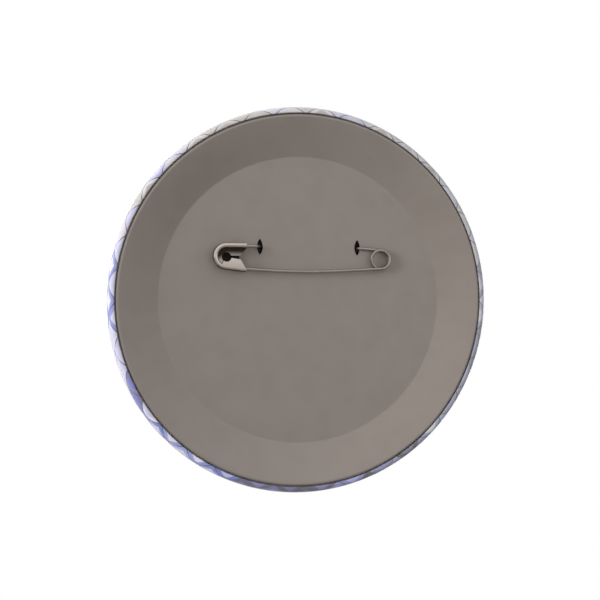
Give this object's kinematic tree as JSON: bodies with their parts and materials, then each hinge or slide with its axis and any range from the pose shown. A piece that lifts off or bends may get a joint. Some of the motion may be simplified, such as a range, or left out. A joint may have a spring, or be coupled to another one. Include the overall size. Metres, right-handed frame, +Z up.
{
  "type": "button badge",
  "caption": "Round domed button badge of tinplate under a printed disc and clear film, with a hinged safety pin through slots in the back plate.",
  "frame": {"origin": "middle of the badge in the rim plane, which is the narrow flat on the crest of the rolled rim at the back", "axes": "+Y out of the back along the badge's axis, -Y out of the printed face, +Z up as worn, with the safety pin above the middle and its coil towards -X"},
  "size_m": [0.057, 0.0062, 0.057],
  "materials": {
    "tinplate": "matt lacquered tinplate",
    "print": "printed paper",
    "film": "clear polyester film",
    "wire": "nickel plated spring wire",
    "clasp_sheet": "nickel plated sheet"
  },
  "bodies": {
    "badge": {"face_shell": "tinplate", "print_disc": "print", "clear_film": "film", "back_plate": "tinplate"},
    "pin": {"fixed_arm": "wire", "spring_coil": "wire", "clasp": "clasp_sheet"},
    "needle": {"needle": "wire"}
  },
  "joints": [
    {"name": "pin_swing", "type": "hinge", "parent": "badge", "child": "pin", "pos_m": [0, -0.00307, 0.00785], "axis": [1, 0, 0], "range_deg": [0, 28]},
    {"name": "needle_open", "type": "hinge", "parent": "pin", "child": "needle", "pos_m": [-0.01193, -0.00135, 0.00469], "axis": [-0.9744, -0.2162, 0.062], "range_deg": [0, 180], "stiffness_Nm_per_rad": 0.0001, "springref_deg": -28.65}
  ]
}
